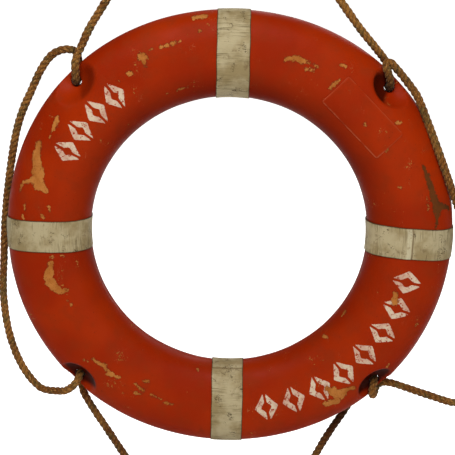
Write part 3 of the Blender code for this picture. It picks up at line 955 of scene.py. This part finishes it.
def tape_band(name, material):
    """A strip wrapped once round the ring's tube, with a lap, creases and a slightly uneven edge."""
    degrees, lap, seed = TAPES[name]
    middle = math.radians(degrees)
    total = float(girth(math.pi)) * 2
    rows = TAPE_STEPS
    distances = np.linspace(-total / 2, total / 2, rows, endpoint=False)
    angles = angle_at_girth(distances)[:, None]
    half = TAPE_WIDTH / 2
    middle_columns = np.linspace(-0.96, 0.96, TAPE_COLUMNS)
    across = np.concatenate([[-1.0, -0.995], middle_columns, [0.995, 1.0]])[None, :] * half
    lay = np.stack(np.broadcast_arrays(distances[:, None], across, np.full_like(across, seed)), axis=-1)
    flat = lay.reshape(-1, 3)
    creases = ripple(flat * np.array([260.0, 18.0, 1.0]), 1.0, seed)
    puckers = ripple(flat * np.array([70.0, 45.0, 1.0]), 1.0, seed + 1)
    relief = (0.00016 * creases + 0.00022 * puckers).reshape(rows, -1)
    ragged = 0.0016 * ripple(lay[0] * np.array([1.0, 60.0, 1.0]), 1.0, seed + 2)[None, :]
    lap_start, lap_end = (float(girth(math.radians(d))) for d in lap)
    here = distances[:, None] + ragged
    if math.radians(lap[1]) > math.pi:
        lap_end = total / 2 + float(girth(math.radians(lap[1]) - 2 * math.pi)) + total / 2
        here = np.where(here < lap_start - 0.02, here + total, here)
    rise = np.clip((here - lap_start) / 0.0012, 0, 1) * np.clip((lap_end - here) / 0.0012, 0, 1)
    top = SKIN_GAP + TAPE_THICKNESS + relief + TAPE_LAP_HEIGHT * rise
    shoulder = np.clip((half - np.abs(across)) / 0.0011, 0.0, 1.0)
    top = SKIN_GAP + (top - SKIN_GAP) * (0.55 + 0.45 * np.sqrt(shoulder))
    wander = 0.0007 * ripple(np.stack([distances * 40, distances * 0, distances * 0 + seed], axis=-1), 1.0, 1)

    def surface(offset):
        reach = section_reach(angles, offset) + swell(middle, angles)
        radius = MEAN_RADIUS + reach * np.cos(angles)
        sideways = across + wander[:, None]
        depth = reach * np.sin(angles)
        skew = TAPE_SKEW.get(name, 0.0) * (radius - MEAN_RADIUS) / HALF_WIDTH
        swing = middle + skew + np.arcsin(sideways / radius)
        return on_ring(swing, radius, depth)

    outside, inside = surface(top), surface(SKIN_GAP)
    points = np.concatenate([outside, inside[:, ::-1]], axis=1)
    columns = points.shape[1]
    band = new_piece(name + "_wrap", points, loop_faces(rows, columns, flip=True), material, 60.0)
    both = np.concatenate([lay, lay[:, ::-1]], axis=1)
    add_field(band.data, "lay", both, "FLOAT_VECTOR", "vector")
    edge = np.broadcast_to(half - np.abs(across), outside.shape[:2])
    add_field(band.data, "edge", np.concatenate([edge, edge[:, ::-1]], axis=1))
    # Painted shade along the lap's two edges
    step = np.exp(-(((here - lap_start) / 0.0009) ** 2)) + np.exp(-(((here - lap_end) / 0.0009) ** 2))
    step = np.broadcast_to(step, outside.shape[:2]) * LAP_SHADE
    add_field(band.data, "step", np.concatenate([step, step[:, ::-1] * 0], axis=1))
    fresh_from = lap_start + 0.001
    fresh = np.clip((here - fresh_from) / 0.001, 0, 1) * np.clip((fresh_from + 0.009 - here) / 0.002, 0, 1)
    fresh = np.broadcast_to(fresh * FRESH_LAP.get(name, FAINT_LAP), outside.shape[:2])
    add_field(band.data, "fresh", np.concatenate([fresh, fresh[:, ::-1] * 0], axis=1))
    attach(band, "ring")
    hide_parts(name)
    return band


def label_plate(material):
    """The painted-over plate: a thin sheet on the shell with rounded corners and a soft edge."""
    rows, columns = LABEL_ROWS, LABEL_COLUMNS
    reach_middle = (LABEL_INNER_RADIUS + LABEL_OUTER_RADIUS) / 2
    half_height = (LABEL_OUTER_RADIUS - LABEL_INNER_RADIUS) / 2
    spread = np.linspace(-1, 1, rows)[:, None]
    lift = np.linspace(-1, 1, columns)[None, :]
    tangent = spread * LABEL_HALF_LENGTH
    radial = lift * half_height
    corner_x = np.maximum(np.abs(tangent) - (LABEL_HALF_LENGTH - LABEL_CORNER), 0)
    corner_y = np.maximum(np.abs(radial) - (half_height - LABEL_CORNER), 0)
    excess = np.hypot(corner_x, corner_y)
    pull = np.where(excess > LABEL_CORNER, LABEL_CORNER / np.maximum(excess, 1e-9), 1.0)
    tangent = np.sign(tangent) * (np.abs(tangent) - corner_x + corner_x * pull)
    radial = np.sign(radial) * (np.abs(radial) - corner_y + corner_y * pull)
    inset = np.minimum(LABEL_HALF_LENGTH - np.abs(tangent), half_height - np.abs(radial))
    shoulder = np.sqrt(np.clip(inset / 0.0022, 0.0, 1.0))
    upright = radial + reach_middle
    radius = np.hypot(upright, tangent)
    sweep = math.radians(LABEL_ANGLE) + np.arctan2(tangent, upright)
    grown = (SKIN_GAP, SKIN_GAP + TAPE_THICKNESS * (0.35 + 0.65 * shoulder))

    def surface(offset):
        across = np.abs(radius - MEAN_RADIUS) / (HALF_WIDTH + offset)
        depth = (HALF_THICKNESS + offset) * (1 - across**SECTION_POWER) ** (1 / SECTION_POWER)
        return on_ring(sweep, radius, depth).reshape(-1, 3)

    outside, inside = surface(grown[1]), surface(np.full_like(radius, grown[0]))
    count = rows * columns
    faces = loop_faces(rows, columns, False, False)
    faces += [tuple(count + c for c in face[::-1]) for face in loop_faces(rows, columns, False, False)]
    border = list(range(columns))
    border += [r * columns + columns - 1 for r in range(1, rows)]
    border += [(rows - 1) * columns + c for c in range(columns - 2, -1, -1)]
    border += [r * columns for r in range(rows - 2, 0, -1)]
    for here, after in zip(border, border[1:] + border[:1]):
        faces.append((after, here, count + here, count + after))
    plate = new_piece("label_plate_painted", np.concatenate([outside, inside]), faces, material, 50.0)
    add_paint_fields(plate.data)
    low_side = np.clip(-radial / half_height - 0.2, 0.0, 0.6) / 0.6
    worn = (np.clip(1.3 - inset / 0.0016, 0.0, 1.0) * (0.3 + 0.7 * low_side)).ravel()
    add_field(plate.data, "rubbed", np.concatenate([worn, worn * 0]))
    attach(plate, "ring")
    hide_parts("label_plate")
    return plate


def lathe(name, outline, middle, material, steps=64, smooth_angle=30.0):
    """A closed outline of (radius, y) turned about the Y axis through middle, capped at radius 0."""
    points = [(middle.x, middle.y + outline[0][1], middle.z)]
    for radius, y in outline:
        for turn in np.linspace(0, 2 * math.pi, steps, endpoint=False):
            across, up = radius * math.cos(turn), radius * math.sin(turn)
            points.append((middle.x + across, middle.y + y, middle.z + up))
    points.append((middle.x, middle.y + outline[-1][1], middle.z))
    faces = []
    for corner in range(steps):
        beside = (corner + 1) % steps
        faces.append((0, 1 + beside, 1 + corner))
        last = 1 + (len(outline) - 1) * steps
        faces.append((len(points) - 1, last + corner, last + beside))
    ring_faces = loop_faces(len(outline), steps, close_rows=False)
    faces += [tuple(1 + c for c in face) for face in ring_faces]
    return new_piece(name, points, faces, material, smooth_angle)


def filling_plug(material):
    """The plug in the back: a domed disc with a raised rim."""
    low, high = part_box("filling_plug")
    radius = (high.x - low.x) / 2
    face = high.y
    middle = Vector(((low.x + high.x) / 2, 0.0, (low.z + high.z) / 2))
    outline = [
        (radius - 0.0004, low.y),
        (radius, low.y + 0.0004),
        (radius, face - 0.0006),
        (radius - 0.0002, face - 0.0002),
        (radius - 0.0007, face),
        (radius - 0.0020, face),
        (radius - 0.0026, face - 0.0004),
        (radius - 0.0030, face - 0.0007),
        (radius - 0.0060, face - 0.0005),
        (0.0012, face - 0.0003),
    ]
    plug = lathe("filling_plug_disc", outline, middle, material)
    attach(plug, "ring")
    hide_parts("filling_plug")
    return plug


# ---------------------------------------------------------------- rope


def closed_route():
    """All route points, and the index at which each piece of the route starts."""
    points, starts = [], {}
    for name, stretch in ROPE_ROUTE.items():
        starts[name] = len(points)
        points += [CENTRE + Vector(point) / 1000 for point in stretch]
    return points, starts


def smooth_point(points, at):
    """The point at a fractional index on the smooth closed curve through all the points."""
    first = math.floor(at)
    part = at - first
    before, here, after, beyond = (points[(first + k) % len(points)] for k in (-1, 0, 1, 2))
    knots = [0.0]
    for start, end in ((before, here), (here, after), (after, beyond)):
        knots.append(knots[-1] + math.sqrt((end - start).length))
    k0, k1, k2, k3 = knots
    t = k1 + part * (k2 - k1)
    a = (before * (k1 - t) + here * (t - k0)) / (k1 - k0)
    b = (here * (k2 - t) + after * (t - k1)) / (k2 - k1)
    c = (after * (k3 - t) + beyond * (t - k2)) / (k3 - k2)
    d = (a * (k2 - t) + b * (t - k0)) / (k2 - k0)
    e = (b * (k3 - t) + c * (t - k1)) / (k3 - k1)
    return (d * (k2 - t) + e * (t - k1)) / (k2 - k1)


def even_line(points):
    """The closed route as even steps: its places, and the route index of each."""
    samples = 40
    indices = np.arange(len(points) * samples + 1) / samples
    dense = np.array([smooth_point(points, at) for at in indices])
    lengths = np.concatenate([[0.0], np.cumsum(np.linalg.norm(np.diff(dense, axis=0), axis=1))])
    count = round(lengths[-1] / ROPE_STEP)
    wanted = np.arange(count) * lengths[-1] / count
    line = np.stack([np.interp(wanted, lengths, dense[:, axis]) for axis in range(3)], axis=1)
    return line, np.interp(wanted, lengths, indices), lengths[-1]


def carried_frames(line):
    """Tangents and a side direction carried along the closed line without turning about it."""
    tangents = np.roll(line, -1, axis=0) - np.roll(line, 1, axis=0)
    tangents /= np.linalg.norm(tangents, axis=1)[:, None]
    side = np.cross(tangents[0], (0.0, 1.0, 0.0))
    sides = []
    for tangent in tangents:
        side = side - tangent * (side @ tangent)
        side = side / np.linalg.norm(side)
        sides.append(side)
    sides = np.array(sides)
    closing = sides[-1] - tangents[0] * (sides[-1] @ tangents[0])
    over = np.cross(tangents[0], sides[0])
    gap = math.atan2(closing @ over, closing @ sides[0])
    return tangents, sides, gap


class Rope:
    """The whole laid rope as rings of surface points, in even steps round its closed route."""

    def __init__(self):
        self.points, self.starts = closed_route()
        self.line, self.index, self.length = even_line(self.points)
        tangents, sides, gap = carried_frames(self.line)
        count = len(self.line)
        lays = round(self.length / ROPE_LAY * STRANDS) / STRANDS
        self.distance = np.arange(count) * self.length / count
        turned = np.arange(count) / count * (2 * math.pi * lays - gap)
        over = np.cross(tangents, sides)
        columns = STRANDS * POINTS_A_STRAND
        around = np.arange(columns) * 2 * math.pi / columns
        from_strand = (around + math.pi / STRANDS) % (2 * math.pi / STRANDS) - math.pi / STRANDS
        lobe = STRAND_OFFSET * np.cos(from_strand)
        lobe = lobe + np.sqrt(STRAND_RADIUS**2 - (STRAND_OFFSET * np.sin(from_strand)) ** 2)
        swell = 1 + self.splice_share() * SPLICE_SWELL - self.whipping_share() * WHIPPING_PINCH
        uneven = 1 + 0.05 * ripple(self.line, 55.0, 2)
        strands = np.repeat(np.arange(STRANDS), POINTS_A_STRAND)
        strands = np.roll(strands, -POINTS_A_STRAND // 2)
        fat = np.stack([1 + 0.06 * ripple(self.line, 80.0, 11 + s) for s in range(STRANDS)], axis=1)
        radius = lobe[None, :] * (swell * uneven)[:, None] * fat[:, strands]
        world = around[None, :] + turned[:, None]
        cosine, sine = np.cos(world), np.sin(world)
        spread = cosine[..., None] * sides[:, None] + sine[..., None] * over[:, None]
        self.rings = self.line[:, None] + spread * radius[..., None]
        along = np.broadcast_to(self.distance[:, None], cosine.shape)
        self.straight = np.stack([radius * cosine, radius * sine, along], axis=-1)
        # Painted shade, deepest in the grooves between the strands
        deep = 1 - (lobe - lobe.min()) / (lobe.max() - lobe.min())
        self.groove_shade = np.broadcast_to(np.clip(deep * 1.5 - 0.45, 0, 1) * 0.5, cosine.shape)

    def splice_share(self):
        """1 along the splice in the bottom loop, 0 elsewhere."""
        first, last = sorted(self.starts["grab_line_bottom"] + s for s in SPLICE_ENDS.values())
        rise = np.clip((self.index - first + 0.35) / 0.5, 0, 1)
        fall = np.clip((last - self.index + 0.35) / 0.5, 0, 1)
        return rise * fall

    def rope_shade(self):
        """How dark the rope is painted with shade, most of all where it runs through the ring."""
        rope_shade = np.zeros(len(self.line))
        for hitch, (strength, reach) in ROPE_HOLE_SHADE.items():
            hole = self.points[self.starts[hitch] + HOLE_PLACES[hitch]]
            away = np.linalg.norm(self.line - np.array(hole), axis=1)
            rope_shade = np.maximum(rope_shade, strength * np.clip(1.4 - away / reach, 0.0, 1.0))
        # Painted shade on the bottom loop's ends, under the ring
        below = np.clip((CENTRE.z - 0.30 - self.line[:, 2]) / 0.03, 0.0, 1.0)
        aside = self.line[:, 0] - CENTRE.x
        ends = np.clip((np.abs(aside) - 0.12) / 0.07, 0.0, 1.0) * (np.abs(aside) < 0.262)
        return np.maximum(rope_shade, np.where(aside > 0, 0.85, 0.35) * below * ends)

    def whipping_share(self):
        """1 under each whipping, 0 away from them."""
        share = np.zeros(len(self.line))
        for steps in SPLICE_ENDS.values():
            middle = np.array(smooth_point(self.points, self.starts["grab_line_bottom"] + steps))
            away = np.linalg.norm(self.line - middle, axis=1)
            share = np.maximum(share, np.clip((WHIPPING_LENGTH - away) / 0.006, 0.0, 1.0))
        return share

    def ring_at_hole(self, hitch):
        wanted = self.starts[hitch] + HOLE_PLACES[hitch]
        return int(np.argmin(np.abs(self.index - wanted)))

    def piece(self, name, material):
        """One loop of the rope, from one hole's middle to the next."""
        before, loop, after, body = ROPE_PIECES[name]
        first, last = self.ring_at_hole(before), self.ring_at_hole(after)
        if last <= first:
            last += len(self.line)
        rows = np.arange(first, last) % len(self.line)
        rings = self.rings[rows]
        columns = rings.shape[1]
        faces = loop_faces(len(rows), columns, close_rows=False, flip=True)
        faces.append(tuple(range(columns)))
        end = (len(rows) - 1) * columns
        faces.append(tuple(end + n for n in reversed(range(columns))))
        rope = new_piece(name, rings, faces, material, 75.0)
        add_field(rope.data, "straight", self.straight[rows], "FLOAT_VECTOR", "vector")
        add_field(rope.data, "groove_shade", self.groove_shade[rows])
        rope_shade = np.broadcast_to(self.rope_shade()[rows][:, None], self.groove_shade[rows].shape)
        add_field(rope.data, "rope_shade", rope_shade)
        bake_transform(rope)
        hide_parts(before, loop, after)
        return rope

    def whipping(self, name, material):
        """Twine wound round one end of the splice, as one continuous coil."""
        at = self.starts["grab_line_bottom"] + SPLICE_ENDS[name]
        middle = smooth_point(self.points, at)
        axis = (smooth_point(self.points, at + 0.2) - smooth_point(self.points, at - 0.2)).normalized()
        side = axis.cross(Vector((0, 1, 0))).normalized()
        over = axis.cross(side)
        pitch = TWINE_RADIUS * TWINE_SPACING
        turns = (WHIPPING_LENGTH - 2 * TWINE_RADIUS) / pitch
        steps = round(turns * TWINE_STEPS_A_TURN)
        points = []
        for n in range(steps + 1):
            turn = 2 * math.pi * turns * n / steps
            shift = (n / steps - 0.5) * (WHIPPING_LENGTH - 2 * TWINE_RADIUS)
            outwards = side * math.cos(turn) + over * math.sin(turn)
            centre = middle + axis * shift + outwards * WHIPPING_CORE
            for corner in range(TWINE_SIDES):
                lean = 2 * math.pi * corner / TWINE_SIDES
                offset = outwards * math.cos(lean) + axis * math.sin(lean)
                points.append(centre + offset * TWINE_RADIUS)
        faces = loop_faces(steps + 1, TWINE_SIDES, close_rows=False, flip=True)
        faces.append(tuple(range(TWINE_SIDES)))
        faces.append(tuple(steps * TWINE_SIDES + n for n in reversed(range(TWINE_SIDES))))
        coil = new_piece(name + "_twine", [tuple(p) for p in points], faces, material, 60.0)
        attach(coil, "bottom_bight")
        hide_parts(name)
        return coil


# ---------------------------------------------------------------- stage


def camera():
    lens = bpy.data.cameras.new("camera")
    lens.lens = CAMERA_LENS
    lens.sensor_width = 36.0
    lens.shift_x, lens.shift_y = CAMERA_SHIFT
    made = bpy.data.objects.new("camera", lens)
    bpy.context.scene.collection.objects.link(made)
    rise = math.radians(CAMERA_ELEVATION)
    back = Vector((0.0, -math.cos(rise), math.sin(rise)))
    made.location = CENTRE + back * CAMERA_DISTANCE
    made.rotation_mode = "QUATERNION"
    roll = Quaternion((0, 0, 1), math.radians(CAMERA_ROLL))
    made.rotation_quaternion = (-back).to_track_quat("-Z", "Y") @ roll
    bpy.context.scene.camera = made


def softbox(name, place, size, power):
    light = bpy.data.lights.new(name, "AREA")
    light.shape = "RECTANGLE"
    light.size, light.size_y = size
    light.energy = power
    made = bpy.data.objects.new(name, light)
    bpy.context.scene.collection.objects.link(made)
    made.location = Vector(place)
    made.rotation_mode = "QUATERNION"
    made.rotation_quaternion = (CENTRE - made.location).to_track_quat("-Z", "Y")


def lights():
    softbox("key", (-0.3, -2.4, 2.3), (2.2, 1.6), 146)
    softbox("fill", (0.8, -3.2, -0.2), (1.6, 2.0), 22)
    softbox("rear", (0.8, 2.6, 0.8), (2.0, 2.0), 26)


def floor():
    """A plain pale floor that is brighter towards the back, as under a lit backdrop."""
    low = CAD_BOX[0]
    level = low.z - FLOOR_DROP
    corners = [(-30, -30, level), (30, -30, level), (30, 30, level), (-30, 30, level)]
    paint = Paint("pale_floor")
    height = paint.node("SeparateXYZ", Vector=paint.node("TexCoord").outputs["Object"]).outputs["Y"]
    paint.put(paint.surface.inputs["Emission Color"], (1.0, 0.995, 0.985))
    paint.put(paint.surface.inputs["Emission Strength"], paint.span(height, 0.10, 0.36, 0.04, 0.97))
    material = paint.finish((0.82, 0.81, 0.79), 0.9, None, 0.1)
    made = new_piece("floor", corners, [(0, 1, 2, 3)], material)


def world():
    made = bpy.data.worlds.new("studio")
    made.use_nodes = True
    bpy.context.scene.world = made
    background = made.node_tree.nodes["Background"]
    background.inputs["Color"].default_value = (1.0, 0.99, 0.98, 1.0)
    background.inputs["Strength"].default_value = 0.16


def main():
    bpy.context.scene.view_settings.view_transform = "Standard"
    camera()
    rope = Rope()
    fibre = rope_material()
    for name in ROPE_PIECES:
        rope.piece(name, fibre)
    twine = twine_material()
    for name in SPLICE_ENDS:
        rope.whipping(name, twine)
    red = shell_material()
    shell_half("shell_front_skin", "shell_front", 1, red)
    shell_half("shell_back_skin", "shell_back", -1, red)
    label_plate(red)
    tape = tape_material()
    for name in TAPES:
        tape_band(name, tape)
    filling_plug(plug_material())
    core = frame["nodes"]["foam_core"]
    core.data.materials.clear()
    core.data.materials.append(foam_material())
    lights()
    floor()
    world()


main()
